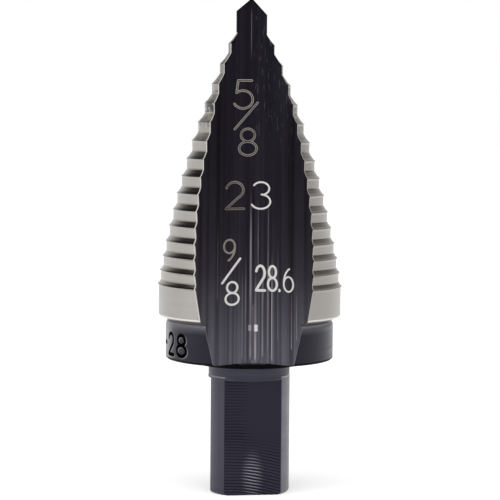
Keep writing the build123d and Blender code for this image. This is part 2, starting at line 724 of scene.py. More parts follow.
    def edge_finish(self, side: int, z: float) -> Region:
        """Choose the finish of the narrow strip along the flute's edge.

        Args:
            side: -1 for the lip, 1 for the heel.
            z: height above the shank's end.

        Returns:
            Its finish.
        """
        s = self.sizes
        beyond, touch = 0.1, 0.01
        honed_from = s.heights[0 if side < 0 else self.heel_honed_step] + beyond
        if s.last_foot_z - touch < z < honed_from:
            return Region.HONED_EDGE_AND_HIGHLIGHT if side < 0 else Region.HEEL_EDGE_AND_HIGHLIGHT
        if s.collar_foot_z + beyond < z < s.collar_top_z - beyond:
            return Region.WORN_EDGE_AND_HIGHLIGHT
        return Region.DARK_EDGE_AND_SHADE

    def grind_flute(
        self, stock: Stock, banks: list[dict[int, Bevel]], last_ring: list[tuple[float, int]]
    ) -> list[tuple[float, int]]:
        """Fit the flute's surface between its two edges.

        Args:
            stock: the mesh in the making.
            banks: for each ring, the bevels at its two ends.
            last_ring: the boss's lowest ring.

        Returns:
            The closed edge of the boss's foot: pairs of angle and vertex number.
        """
        clearance = 0.35  # heights this near are kept clear of the edges as well
        merging = 1e-7
        lip, heel = ([(b[side].arc, b[side].height, b[side].strip[2]) for b in banks] for side in (-1, 1))
        low, high = lip[-1][1], lip[0][1]
        foot = []
        for arc in np.linspace(lip[-1][0], heel[-1][0], self.foot_points)[1:-1]:
            foot.append((arc, low, stock.point(*self.flute.spot(arc, low))))
        border = lip + foot + heel[::-1]
        lip_arc, lip_z = np.array([place[:2] for place in lip[::-1]]).T
        heel_arc, heel_z = np.array([place[:2] for place in heel[::-1]]).T
        cell = self.flute_cell
        points = [Vector((arc, z)) for arc, z, _vertex in border]
        for z in np.arange(low + cell, high - cell / 2, cell):
            levels = (z, z - clearance, z + clearance)
            left = max(np.interp(level, lip_z, lip_arc) for level in levels)
            right = min(np.interp(level, heel_z, heel_arc) for level in levels)
            start = math.ceil((left + cell / 2) / cell) * cell
            points += [Vector((arc, z)) for arc in np.arange(start, right - cell / 2, cell)]
        count = len(border)
        edges = [(i, (i + 1) % count) for i in range(count)]
        flat, _edges, faces, origins, *_rest = delaunay_2d_cdt(points, edges, [], 1, merging)
        numbers = []
        for place, origin in zip(flat, origins):
            known = [o for o in origin if o < count]
            spot = self.flute.spot(place.x, place.y)
            numbers.append(border[known[0]][2] if known else stock.point(*spot))
        for face in faces:
            stock.face([numbers[v] for v in face], Region.FLUTE)
        left, right = banks[-1][-1].strip, banks[-1][1].strip
        rim = [*left[1:], *(vertex for _arc, _z, vertex in foot), *right[:0:-1]]
        closing = [(math.atan2(stock.vertices[v][1], stock.vertices[v][0]), v) for v in rim]
        return sorted(closing + [(wrap(angle), v) for angle, v in last_ring])


@dataclass
class Shank:
    """The neck and the round shank, with three milled flats for the chuck's jaws.

    Attributes:
        sizes: the turned sizes.
        columns: faces round it.
        neck_fillet: rings from the boss's foot to the neck, each as how far it stands out from
            the neck and how far it lies below the boss.
        support: distance from an edge to the ring that keeps the face beside it flat.
        flat_support: the same for the flats.
        round_steps: faces across the end's rounding.
    """

    sizes: DrillSizes
    columns: int = 144
    neck_fillet: tuple[tuple[float, float], ...] = ((0.3, 0.0), (0.1, 0.03), (0.03, 0.1), (0.0, 0.3))
    support: float = 0.1
    flat_support: float = 0.15
    round_steps: int = 5

    def build(self, stock: Stock, boss_edge: list[tuple[float, int]]) -> None:
        """Add the neck and the shank to a mesh.

        Args:
            stock: the mesh in the making.
            boss_edge: the closed edge that the boss's foot starts from.
        """
        s = self.sizes
        turns = [-math.pi + FULL_TURN * i / self.columns for i in range(self.columns)]
        boss_foot, *fillet = [
            (s.neck_radius + out, s.boss_foot_z - down) for out, down in self.neck_fillet
        ]
        ring = self.circle(stock, turns, *boss_foot)
        first_angle, first_vertex = boss_edge[0]
        start = min(range(self.columns), key=lambda i: abs(turns[i] - first_angle))
        order = list(zip(turns, ring))
        closing = [(turn + FULL_TURN, vertex) for turn, vertex in order[: start + 1]]
        closed = boss_edge + [(first_angle + FULL_TURN, first_vertex)]
        # Painted shade: the boss's foot and the top of the neck under the collar are near black
        stock.zip_rings(closed, order[start:] + closing, Region.DARK_EDGE_AND_SHADE)
        neck, shank = [Region.NECK] * self.columns, [Region.SHANK] * self.columns
        profile = [
            (*fillet[0], [Region.DARK_EDGE_AND_SHADE] * self.columns),
            (*fillet[1], neck),
            (*fillet[2], neck),
            (s.neck_radius, s.shank_top_z + self.support, neck),
            (s.neck_radius, s.shank_top_z, neck),
            (s.shank_radius, s.shank_top_z - s.neck_bevel, [self.bevel_highlight_finish(t) for t in turns]),
            (s.shank_radius, s.flat_top_z + self.support, shank),
            (s.shank_radius, s.flat_top_z, shank),
        ]
        for radius, z, finishes in profile:
            lower = self.circle(stock, turns, radius, z)
            self.band(stock, ring, lower, finishes)
            ring = lower
        self.body(stock, turns, ring)

    def circle(self, stock: Stock, turns: list[float], radius: float, z: float) -> list[int]:
        """Add a full ring of vertices."""
        return [stock.point(radius * math.cos(a), radius * math.sin(a), z) for a in turns]

    def band(
        self, stock: Stock, upper: list[int], lower: list[int], finishes: list[Region]
    ) -> None:
        """Fill the band between two closed rings.

        Args:
            stock: the mesh in the making.
            upper: the upper ring.
            lower: the lower ring.
            finishes: the finish of each face.
        """
        for i, finish in enumerate(finishes):
            j = (i + 1) % len(upper)
            stock.face([upper[i], lower[i], lower[j], upper[j]], finish)

    def flat_middles(self) -> list[float]:
        """Give the places of the flats.

        Returns:
            The angles of their middles, in radians.
        """
        s = self.sizes
        turns = [s.flat_turn - 90 + k * 360 / s.flat_count for k in range(s.flat_count)]
        return [math.radians(turn) for turn in turns]

    def bevel_highlight_finish(self, turn: float) -> Region:
        """Choose the finish of the bevel over the shank: painted highlight arcs only above the round
        strips, paler on the right.

        Args:
            turn: the angle of a face.

        Returns:
            Its finish.
        """
        s = self.sizes
        half = math.acos(1 - s.flat_depth / s.shank_radius)
        step = FULL_TURN / s.flat_count
        offset = (turn - self.flat_middles()[0] + step / 2) % step - step / 2
        if abs(offset) < half:
            return Region.NECK
        # Painted highlight: paler on the right, where light falls, than on the left
        return Region.HEEL_EDGE_AND_HIGHLIGHT if math.cos(turn) > 0 else Region.WORN_EDGE_AND_HIGHLIGHT

    def section(self, turns: list[float], shrink: float) -> list[tuple[float, float, bool]]:
        """Find the shank's section with its flats.

        Args:
            turns: the angles of its points.
            shrink: how far the round is drawn in, for the end's rounding.

        Returns:
            For each angle, x, y and whether it is on a flat.
        """
        s = self.sizes
        widest = math.pi / 2.2  # a flat's line is not met beyond this
        radius, apothem = s.shank_radius - shrink, s.shank_radius - s.flat_depth
        points = []
        for turn in turns:
            nearest = min((wrap(turn - middle) for middle in self.flat_middles()), key=abs)
            reach = apothem / math.cos(nearest) if abs(nearest) < widest else math.inf
            length = min(reach, radius)
            points.append((length * math.cos(turn), length * math.sin(turn), reach < radius))
        return points

    def body(self, stock: Stock, turns: list[float], ring: list[int]) -> None:
        """Add the shank below the flats' stop, and its end face.

        Args:
            stock: the mesh in the making.
            turns: the angles of the ring's points.
            ring: the full ring at the flats' stop.
        """
        s = self.sizes
        half = math.acos((s.shank_radius - s.flat_depth) / s.shank_radius)
        snapped = list(turns)
        for middle in self.flat_middles():
            for side in (-1, 1):
                corner = wrap(middle + side * half)
                snapped[min(range(len(turns)), key=lambda n: abs(turns[n] - corner))] = corner
        for vertex, turn in zip(ring, snapped):
            x, y = s.shank_radius * math.cos(turn), s.shank_radius * math.sin(turn)
            stock.vertices[vertex] = (x, y, s.flat_top_z)
        levels = [
            (s.flat_top_z, 0.0),
            (s.flat_top_z - self.flat_support, 0.0),
            (s.shank_end_round + self.flat_support, 0.0),
        ]
        for k in range(self.round_steps + 1):
            angle = math.radians(90 / self.round_steps * k)
            drop = s.shank_end_round * (1 - math.sin(angle))
            levels.append((drop, s.shank_end_round * (1 - math.cos(angle))))
        upper = ring
        for number, (z, shrink) in enumerate(levels):
            places = self.section(snapped, shrink)
            lower = [
                stock.point(x, y, z) if number or on_flat else vertex
                for (x, y, on_flat), vertex in zip(places, ring)
            ]
            flat = [on_flat for _x, _y, on_flat in places]
            milled = [number and (a or b) for a, b in zip(flat, flat[1:] + flat[:1])]
            finishes = [Region.MILLED_FLAT if on_flat else Region.SHANK for on_flat in milled]
            self.band(stock, upper, lower, finishes)
            upper = lower
        stock.face(upper[::-1], Region.SHANK)


class Fade(NamedTuple):
    """A smooth change along one axis of the drill.

    Attributes:
        axis: which axis: X, Y or Z.
        start: where it starts, in millimetres.
        end: where it ends.
        before: the value before its start.
        after: the value after its end.
    """

    axis: int
    start: float
    end: float
    before: float
    after: float


class Nodes:
    """A node tree in the making, with the drill's coordinates.

    Attributes:
        tree: the node tree.
        place: the object's coordinates, in metres.
        axes: the same, split into X, Y and Z.
    """

    def __init__(self, owner: bpy.types.Material | bpy.types.World, output: str = "Object") -> None:
        """Empty the owner's tree and start it with coordinates.

        Args:
            owner: the material or the world.
            output: which coordinates it needs.
        """
        owner.use_nodes = True
        self.tree = owner.node_tree
        self.tree.nodes.clear()
        self.place = self.add("ShaderNodeTexCoord").outputs[output]
        self.axes = self.add("ShaderNodeSeparateXYZ", {}, (self.place,)).outputs

    def add(
        self,
        kind: str,
        settings: dict | None = None,
        inputs: dict | tuple = (),
        stops: tuple[tuple[float, str], ...] = (),
    ) -> bpy.types.Node:
        """Add one node with its settings, input values and links.

        Args:
            kind: the node's type name.
            settings: attributes to set on the node.
            inputs: a value or an output socket for each input, in order or by name or number.
            stops: positions and sRGB hex colours of a colour ramp's stops.

        Returns:
            The new node.
        """
        node = self.tree.nodes.new(kind)
        for name, value in (settings or {}).items():
            setattr(node, name, value)
        for name, value in inputs.items() if isinstance(inputs, dict) else enumerate(inputs):
            if isinstance(value, Socket):
                self.tree.links.new(value, node.inputs[name])
            else:
                node.inputs[name].default_value = value
        for number, (position, colour) in enumerate(stops):
            elements = node.color_ramp.elements
            stop = elements[number] if number < 2 else elements.new(position)
            stop.position = position
            stop.color = linear(colour)
        return node

    def fade(self, share: Socket | float, *fades: Fade) -> Socket:
        """Fade a value out beyond some places on the drill.

        Args:
            share: the value.
            fades: the places.

        Returns:
            The value times the share that each place leaves.
        """
        for fade in fades:
            ends = (fade.start * MM, fade.end * MM, fade.before, fade.after)
            left = self.add(*EASE, (self.axes[fade.axis], *ends)).outputs[0]
            share = self.add(*TIMES, (share, left)).outputs[0]
        return share


class Lay(Enum):
    """Which way tool marks run."""

    ROUND = "round the drill"
    UP = "up the drill"
    FLUTE = "up the flute, whatever its depth"


@dataclass(frozen=True)
class ToolMarks:
    """Fine parallel lines that a cutter or a grinding wheel leaves.

    Real grinding lines are a few hundredths of a millimetre apart, and those of a lathe about a
    tenth. Here they are drawn two to five times as coarse, because finer ones would not show.

    Attributes:
        pitch: spacing of the lines, in millimetres.
        length: length of one line, in millimetres.
        lay: which way they run.
        depth: their height, in millimetres.
    """

    pitch: float
    length: float
    lay: Lay
    depth: float = 0.0

    def draw(self, nodes: Nodes) -> Socket:
        """Draw the lines as stretched noise.

        Args:
            nodes: the material's nodes.

        Returns:
            A value from 0 to 1.
        """
        fine, long = 1 / (self.pitch * MM), 1 / (self.length * MM)
        scale = {
            Lay.ROUND: (long, long, fine),
            Lay.UP: (fine, fine, long),
            Lay.FLUTE: (fine, 0.0, long),
        }[self.lay]
        inputs = {"Vector": nodes.place, "Scale": scale}
        stretch = nodes.add("ShaderNodeMapping", {}, inputs).outputs[0]
        grain = {"Vector": stretch, "Scale": 0.5, "Detail": 3.0, "Roughness": 0.6}
        return nodes.add("ShaderNodeTexNoise", {}, grain).outputs["Fac"]

    def relief(self, nodes: Nodes, height: Socket) -> Socket:
        """Turn the lines into bumps of their own depth.

        Args:
            nodes: the material's nodes.
            height: the lines, from 0 to 1.

        Returns:
            The bent surface normal.
        """
        inputs = {"Height": height, "Strength": 1.0, "Distance": self.depth * MM}
        return nodes.add("ShaderNodeBump", {}, inputs).outputs["Normal"]


@dataclass(frozen=True)
class Finish:
    """A finish of the drill's surface; each kind says what its shader's inputs are."""

    name: str

    def make(self) -> bpy.types.Material:
        """Make the material.

        Returns:
            The material.
        """
        material = bpy.data.materials.new(self.name)
        nodes = Nodes(material)
        shader = nodes.add("ShaderNodeBsdfPrincipled", {}, self.inputs(nodes))
        nodes.add("ShaderNodeOutputMaterial", {}, {"Surface": shader.outputs[0]})
        return material

    def inputs(self, nodes: Nodes) -> dict:
        """Give the shader's inputs; each kind of finish says how."""
        raise NotImplementedError


@dataclass(frozen=True)
class GroundSteel(Finish):
    """Bare high-speed steel off the grinding wheel: satin grey with faint lines round it.

    Attributes:
        dark: sRGB hex colour in the lines.
        light: sRGB hex colour between them.
        roughness: how far it blurs what it mirrors.
        metallic: how much of it is clean metal.
        marks: the grinding lines.
    """

    dark: str
    light: str
    roughness: float
    metallic: float = 1.0
    marks: ToolMarks = ToolMarks(0.16, 14.0, Lay.ROUND, 0.0012)

    def inputs(self, nodes: Nodes) -> dict:
        """Give the shader's inputs.

        Args:
            nodes: the material's nodes.

        Returns:
            Values and sockets by the input's name.
        """
        lines = self.marks.draw(nodes)
        spread = (self.roughness - 0.03, self.roughness + 0.03)
        return {
            "Base Color": self.spoil(nodes, self.tint(nodes, lines)),
            "Metallic": self.metallic,
            "Roughness": nodes.add(*EASE, (lines, NOISE_LOW, NOISE_HIGH, *spread)).outputs[0],
            "Normal": self.marks.relief(nodes, lines),
        }

    def tint(self, nodes: Nodes, lines: Socket) -> Socket:
        """Colour the grinding lines."""
        stops = ((NOISE_LOW, self.dark), (NOISE_HIGH, self.light))
        return nodes.add("ShaderNodeValToRGB", {}, (lines,), stops).outputs[0]

    def spoil(self, nodes: Nodes, colour: Socket) -> Socket:
        """Leave the colour as it is; a spoilt surface darkens it here."""
        return colour


@dataclass(frozen=True)
class ChatteredSteel(GroundSteel):
    """Ground steel where the wheel chattered on the fourth and fifth lands beside the lip.

    Attributes:
        spots: size of a chatter mark, in millimetres.
        chattered: where the spots fade out.
        spot_colour: sRGB hex colour of a spot.
        dulled: where the lands near the point turn dull.
        dull_colour: sRGB hex colour of the dull lands.
    """

    spots: float = 0.9
    chattered: tuple[Fade, ...] = (
        Fade(Z, 55.5, 58.0, 0.0, 1.0),
        Fade(Z, 61.5, 62.5, 1.0, 0.0),
        Fade(X, -5.0, -4.6, 1.0, 0.0),
        Fade(Y, -3.0, 1.0, 1.0, 0.0),
    )
    spot_colour: str = "#4A4846"
    dulled: tuple[Fade, ...] = (Fade(Z, 61.0, 65.0, 0.0, 0.6), Fade(X, -1.0, 0.0, 1.0, 0.0))
    dull_colour: str = "#6F6D6C"

    def spoil(self, nodes: Nodes, colour: Socket) -> Socket:
        """Darken the high lands of the lip's side, in spots where the wheel chattered.

        Args:
            nodes: the material's nodes.
            colour: the clean steel's colour.

        Returns:
            The spoilt colour.
        """
        grain = {"Vector": nodes.place, "Scale": 1 / (self.spots * MM), "Detail": 2.0, "Roughness": 0.6}
        noise = nodes.add("ShaderNodeTexNoise", {}, grain).outputs["Fac"]
        spots = nodes.add(*EASE, (noise, 0.42, 0.6, 1.0, 0.0)).outputs[0]
        share = nodes.fade(spots, *self.chattered)
        spotted = nodes.add(*TINT, {0: share, 6: colour, 7: linear(self.spot_colour)}).outputs[2]
        share = nodes.fade(1.0, *self.dulled)
        return nodes.add(*TINT, {0: share, 6: spotted, 7: linear(self.dull_colour)}).outputs[2]


@dataclass(frozen=True)
class ShoulderSteel(GroundSteel):
    """Ground steel that is bright low down, and matt and mottled on the smaller steps.

    Attributes:
        matt: heights where it starts to turn matt and where it is fully matt, in millimetres.
        matt_dark: sRGB hex colour of the matt steel's darker patches.
        matt_light: sRGB hex colour of its lighter patches.
        matt_roughness: how far the matt steel blurs what it mirrors.
        matt_metallic: how much of it is clean metal.
        patches: the matt steel's mottling.
    """

    matt: tuple[float, float] = (50.0, 57.0)
    matt_dark: str = "#7A7774"
    matt_light: str = "#B2AEA8"
    matt_roughness: float = 0.42
    matt_metallic: float = 0.55
    patches: ToolMarks = ToolMarks(0.5, 0.9, Lay.ROUND)

    def inputs(self, nodes: Nodes) -> dict:
        """Give the shader's inputs.

        Args:
            nodes: the material's nodes.

        Returns:
            Values and sockets by the input's name.
        """
        rise = (nodes.axes[Z], *(height * MM for height in self.matt))
        lines = self.marks.draw(nodes)
        clean = self.tint(nodes, lines)
        stops = ((0.35, self.matt_dark), (0.6, self.matt_light))
        mottled = nodes.add("ShaderNodeValToRGB", {}, (self.patches.draw(nodes),), stops).outputs[0]
        share, metallic, roughness = (
            nodes.add(*EASE, (*rise, low, high)).outputs[0]
            for low, high in (
                (0.0, 1.0),
                (self.metallic, self.matt_metallic),
                (self.roughness, self.matt_roughness),
            )
        )
        return {
            "Base Color": nodes.add(*TINT, {0: share, 6: clean, 7: mottled}).outputs[2],
            "Metallic": metallic,
            "Roughness": roughness,
            "Normal": self.marks.relief(nodes, lines),
        }


@dataclass(frozen=True)
class BlackOxide(Finish):
    """Steel under a thin black oxide skin: near black, with a soft oily gloss.

    Attributes:
        colours: sRGB hex colours up the drill, with the heights they are at.
        roughness: how far it blurs what it mirrors.
        marks: the tool marks under the skin.
        contrast: how much the marks darken and lighten the colour.
        gloss: strength of its mirror reflection, where 0.5 is usual.
        oil: sRGB hex colour that the oil gives the reflection.
    """

    colours: tuple[tuple[float, str], ...]
    roughness: float
    marks: ToolMarks
    contrast: float = 0.3
    gloss: float = 0.5
    oil: ClassVar[str] = "#D2CEF0"

    def tones(self, nodes: Nodes) -> Socket:
        """Colour the skin by height.

        Args:
            nodes: the material's nodes.

        Returns:
            The colour.
        """
        climb = (nodes.axes[Z], 0.0, RAMP_TOP * MM, 0.0, 1.0)
        level = nodes.add("ShaderNodeMapRange", {}, climb).outputs[0]
        stops = tuple((height / RAMP_TOP, colour) for height, colour in self.colours)
        return nodes.add("ShaderNodeValToRGB", {}, (level,), stops).outputs[0]

    def inputs(self, nodes: Nodes) -> dict:
        """Give the shader's inputs.

        Args:
            nodes: the material's nodes.

        Returns:
            Values and sockets by the input's name.
        """
        lines = self.marks.draw(nodes)
        tone = self.tones(nodes)
        noise = (lines, NOISE_LOW, NOISE_HIGH)
        strength = nodes.add(*EASE, (*noise, 1 - self.contrast, 1 + self.contrast)).outputs[0]
        tinted = nodes.add(*SCALED, {0: tone, "Scale": strength}).outputs[0]
        spread = (self.roughness - 0.05, self.roughness + 0.05)
        return {
            "Base Color": self.dress(nodes, tinted),
            "Specular IOR Level": self.gloss,
            "Specular Tint": linear(self.oil),
            "Roughness": nodes.add(*EASE, (*noise, *spread)).outputs[0],
            "Normal": self.marks.relief(nodes, lines),
        }

    def dress(self, nodes: Nodes, colour: Socket) -> Socket:
        """Leave the colour as it is; a worn skin adds to it here."""
        return colour


@dataclass(frozen=True)
class Scratch:
    """One line up the flute, worn through the skin and partly a painted highlight of the hollow's floor,
    or left dark beside a bright one, or a painted highlight spot.

    Attributes:
        across: how far it lies towards +X, in millimetres.
        width: its width, in millimetres.
        foot: height of its lower end, in millimetres.
        top: height of its upper end, in millimetres.
        shine: how much of its colour shows, from 0 to 1.
        fade: the length over which its top fades out, in millimetres.
        colour: its sRGB hex colour.
        broken: whether it comes and goes along its length.
    """

    across: float
    width: float
    foot: float
    top: float
    shine: float
    fade: float = 3.0
    colour: str = "#B4B0B6"
    broken: bool = True

    def draw(self, nodes: Nodes) -> Socket:
        """Draw the line.

        Args:
            nodes: the material's nodes.

        Returns:
            A value from 0 to its shine.
        """
        offset = nodes.add(*LESS, (nodes.axes[X], self.across * MM)).outputs[0]
        away = nodes.add(*UNSIGNED, (offset,)).outputs[0]
        soft_edge = (0.25 * self.width * MM, 0.75 * self.width * MM)
        core = nodes.add(*EASE, (away, *soft_edge, self.shine, 0.0)).outputs[0]
        rise = Fade(Z, self.foot, self.foot + 0.1 * self.fade, 0.0, 1.0)
        return nodes.fade(core, rise, Fade(Z, self.top - self.fade, self.top, 1.0, 0.0))


@dataclass(frozen=True)
class GroundFluteOxide(BlackOxide):
    """The flute's skin, where the wheel's spark-out left streaks low down, painted bright as a painted
    sheen, with painted highlights.

    Attributes:
        streaks: the fine streaks between the scratches.
        streak_sheen_fades: where the streaks' painted sheen fades out, brightest low down where the
            run-out curves.
        streak_sheen_colour: sRGB hex colour of their painted sheen.
        gaps: what breaks the scratches up.
        scratches: the lines that are drawn one by one, the last two being painted highlights where the
            run-out's curve starts.
        ridge_highlight: the painted highlight line down the point, where the flute's two walls meet: its
            place across and half its width.
        ridge_highlight_fades: where it fades out.
        ridge_highlight_colour: its sRGB hex colour.
        nicks: the rough marks beside the heel, high up.
        nicked: where they fade out.
        nick_colour: their sRGB hex colour.
    """

    streaks: ToolMarks = ToolMarks(0.16, 90.0, Lay.FLUTE)
    streak_sheen_fades: tuple[Fade, ...] = (
        Fade(Z, 22.0, 46.0, 0.5, 0.0),
        Fade(Z, 20.75, 20.95, 0.0, 1.0),
        Fade(X, -0.9, 0.1, 0.0, 1.0),
        Fade(X, 0.8, 5.5, 1.0, 0.12),
    )
    streak_sheen_colour: str = "#9C99A0"
    gaps: ToolMarks = ToolMarks(0.5, 9.0, Lay.FLUTE)
    scratches: tuple[Scratch, ...] = (
        Scratch(0.48, 0.3, 29.0, 50.0, 0.8, 6.0, "#09080B"),
        Scratch(0.5, 0.2, 21.0, 31.0, 0.55, 4.0, "#17151A"),
        Scratch(1.72, 0.16, 21.0, 37.0, 0.6, 5.0, "#17151A"),
        Scratch(-0.25, 0.2, 21.0, 40.0, 0.5, 8.0, "#1E1C22"),
        Scratch(2.45, 0.22, 22.0, 44.0, 0.5, 8.0, "#17151A"),
        Scratch(3.15, 0.2, 22.0, 40.0, 0.5, 8.0, "#17151A"),
        Scratch(0.12, 0.26, 20.9, 48.0, 0.95, 14.0),
        Scratch(-0.6, 0.14, 20.85, 38.0, 0.4, 8.0),
        Scratch(-1.1, 0.16, 21.2, 36.0, 0.3, 6.0),
        Scratch(0.9, 0.26, 20.9, 35.0, 0.95, 8.0),
        Scratch(1.25, 0.12, 35.0, 46.0, 0.5, 8.0),
        Scratch(1.45, 0.14, 21.0, 36.0, 0.5, 6.0),
        Scratch(2.0, 0.2, 21.5, 36.0, 0.8, 6.0),
        Scratch(2.8, 0.14, 22.5, 47.0, 0.5, 8.0),
        Scratch(3.4, 0.17, 20.9, 38.0, 0.85, 8.0),
        Scratch(4.3, 0.1, 24.0, 40.0, 0.3, 8.0),
        Scratch(6.35, 0.12, 23.0, 33.0, 0.5, 4.0),
        Scratch(7.1, 0.1, 24.5, 32.0, 0.5, 3.0),
        Scratch(-4.9, 0.14, 30.0, 44.0, 0.2, 8.0),
        # Painted highlights: a white spot where the run-out's curve starts to catch the light
        Scratch(0.05, 0.42, 25.5, 26.45, 0.5, 0.2, "#D8D5DA", False),
        Scratch(1.0, 0.5, 25.4, 26.5, 1.0, 0.2, "#FFFFFF", False),
    )
    ridge_highlight: tuple[float, float] = (-0.02, 0.06)
    ridge_highlight_fades: tuple[Fade, ...] = (Fade(Z, 66.0, 70.0, 0.0, 0.4), Fade(Z, 73.0, 75.0, 1.0, 0.0))
    ridge_highlight_colour: str = "#8A868C"
    nicks: ToolMarks = ToolMarks(0.14, 1.1, Lay.FLUTE)
    nicked: tuple[Fade, ...] = (Fade(X, 0.2, 0.8, 0.0, 1.0), Fade(Z, 48.0, 62.0, 0.0, 1.0))
    nick_colour: str = "#77747C"

    def dress(self, nodes: Nodes, colour: Socket) -> Socket:
        """Add the streaks' painted sheen right of the middle, the scratches, the painted highlight line
        down the point and the nicks.

        Args:
            nodes: the material's nodes.
            colour: the skin's colour.

        Returns:
            The dressed colour.
        """
        bright = nodes.add(*EASE, (self.streaks.draw(nodes), 0.5, 0.62, 0.0, 1.0)).outputs[0]
        gaps = nodes.add(*EASE, (self.gaps.draw(nodes), 0.38, 0.6, 0.35, 1.0)).outputs[0]
        # Painted sheen: the streaks are lit brightest low down, where the run-out curves
        layers = [(nodes.fade(bright, *self.streak_sheen_fades), self.streak_sheen_colour)]
        for scratch in self.scratches:
            line = scratch.draw(nodes)
            if scratch.broken:
                line = nodes.add(*TIMES, (line, gaps)).outputs[0]
            layers.append((line, scratch.colour))
        # Painted highlight along the line where the flute's walls meet near the point
        ridge_highlight = nodes.add(*NEAR, (nodes.axes[X], *(size * MM for size in self.ridge_highlight))).outputs[0]
        layers.append((nodes.fade(ridge_highlight, *self.ridge_highlight_fades), self.ridge_highlight_colour))
        nicks = nodes.add(*EASE, (self.nicks.draw(nodes), 0.56, 0.68, 0.0, 0.28)).outputs[0]
        layers.append((nodes.fade(nicks, *self.nicked), self.nick_colour))
        for share, layer in layers:
            colour = nodes.add(*TINT, {0: share, 6: colour, 7: linear(layer)}).outputs[2]
        return colour


@dataclass(frozen=True)
class SideSheenOxide(BlackOxide):
    """Skin painted paler along one side as a painted sheen, where light falls on that side.

    Attributes:
        sheen_start: where the painted sheen starts, towards +X in millimetres.
        sheen_full: where it is full.
        share: how much of the sheen colour shows there.
        sheen_colour: sRGB hex colour of the painted sheen.
        patches: what makes the painted sheen uneven.
    """

    sheen_start: float = 4.7
    sheen_full: float = 5.3
    share: float = 0.88
    sheen_colour: str = "#7C7B81"
    patches: ToolMarks = ToolMarks(0.8, 5.0, Lay.ROUND)

    def dress(self, nodes: Nodes, colour: Socket) -> Socket:
        """Paint the sheen on the lit side.

        Args:
            nodes: the material's nodes.
            colour: the skin's colour.

        Returns:
            The colour with its painted sheen.
        """
        uneven = nodes.add(*EASE, (self.patches.draw(nodes), 0.35, 0.6, 0.75, 1.0)).outputs[0]
        # Painted sheen: paler towards the side where light falls
        share = nodes.fade(uneven, Fade(X, self.sheen_start, self.sheen_full, 0.0, self.share))
        return nodes.add(*TINT, {0: share, 6: colour, 7: linear(self.sheen_colour)}).outputs[2]


@dataclass(frozen=True)
class MilledOxide(BlackOxide):
    """The flats' skin, over the bowed lines of a face mill.

    Attributes:
        centre: where the mill's axis lay, so that its lines bow round it, in millimetres.
        sway: how far the lines stray, in millimetres.
        uneven: what makes them stray and fade.
        fading: how their depth falls off up the drill.
        worn: where they are worn flat.
        glint: the bright patch near the foot: its middle and its half sizes, in millimetres.
        glint_colour: its sRGB hex colour.
    """

    centre: Point = (-3.2, -4.6, -24.0)
    sway: float = 0.6
    uneven: ToolMarks = ToolMarks(2.5, 4.0, Lay.ROUND)
    fading: Fade = Fade(Z, 4.0, 13.0, 1.0, 0.5)
    worn: tuple[Fade, ...] = (Fade(X, -1.5, 2.0, 0.0, 0.95), Fade(Z, 6.0, 10.0, 0.0, 1.0))
    glint: tuple[Point, Point] = ((0.6, -4.6, 3.0), (2.0, 2.0, 4.5))
    glint_colour: str = "#A5A2A8"

    def inputs(self, nodes: Nodes) -> dict:
        """Give the shader's inputs.

        Args:
            nodes: the material's nodes.

        Returns:
            Values and sockets by the input's name.
        """
        rings_per_unit = 0.314  # scale at which a ring texture's rings are one unit apart
        location = tuple(-c * MM for c in self.centre)
        moved = {"Vector": nodes.place, "Location": location}
        centre = nodes.add("ShaderNodeMapping", {}, moved).outputs[0]
        uneven = self.uneven.draw(nodes)
        sway = nodes.add(*TIMES, (uneven, self.sway * MM)).outputs[0]
        shifted = nodes.add("ShaderNodeCombineXYZ", {}, {"Z": sway}).outputs[0]
        bent = nodes.add("ShaderNodeVectorMath", {"operation": "ADD"}, (centre, shifted)).outputs[0]
        rings = {"wave_type": "RINGS", "rings_direction": "SPHERICAL", "wave_profile": "SIN"}
        scale = rings_per_unit / (self.marks.pitch * MM)
        passes = nodes.add("ShaderNodeTexWave", rings, {"Vector": bent, "Scale": scale})
        lines = passes.outputs["Fac"]
        depth, worn = nodes.fade(1.0, self.fading), nodes.fade(1.0, *self.worn)
        kept = nodes.add(*LESS, (depth, worn)).outputs[0]
        kept = nodes.add(*HIGHER, (kept, 0.0)).outputs[0]
        patchy = nodes.add(*EASE, (uneven, 0.35, 0.65, 0.5, 1.0)).outputs[0]
        marked = nodes.add(*TIMES, (kept, patchy)).outputs[0]
        height = nodes.add(*TIMES, (lines, marked)).outputs[0]
        doubled = nodes.add(*TIMES, (height, 2.0)).outputs[0]
        ridges = nodes.add(*LESS, (doubled, marked)).outputs[0]
        scaled = nodes.add(*TIMES, (ridges, self.contrast)).outputs[0]
        strength = nodes.add(*MORE, (scaled, 1.0)).outputs[0]
        tinted = nodes.add(*SCALED, {0: self.tones(nodes), "Scale": strength}).outputs[0]
        middle, halves = (tuple(c * MM for c in point) for point in self.glint)
        box = {"Vector": nodes.place, "Location": middle, "Scale": halves}
        inside = nodes.add("ShaderNodeMapping", {"vector_type": "TEXTURE"}, box).outputs[0]
        length = ("ShaderNodeVectorMath", {"operation": "LENGTH"})
        away = nodes.add(*length, (inside,)).outputs["Value"]
        patch = nodes.add(*EASE, (away, 0.2, 1.0, 0.8, 0.0)).outputs[0]
        tops = nodes.add(*EASE, (lines, 0.55, 0.95, 0.0, 1.0)).outputs[0]
        glint = nodes.add(*TIMES, (patch, tops)).outputs[0]
        lit = {0: glint, 6: tinted, 7: linear(self.glint_colour)}
        return {
            "Base Color": nodes.add(*TINT, lit).outputs[2],
            "Specular IOR Level": self.gloss,
            "Specular Tint": linear(self.oil),
            "Roughness": self.roughness,
            "Normal": self.marks.relief(nodes, height),
        }


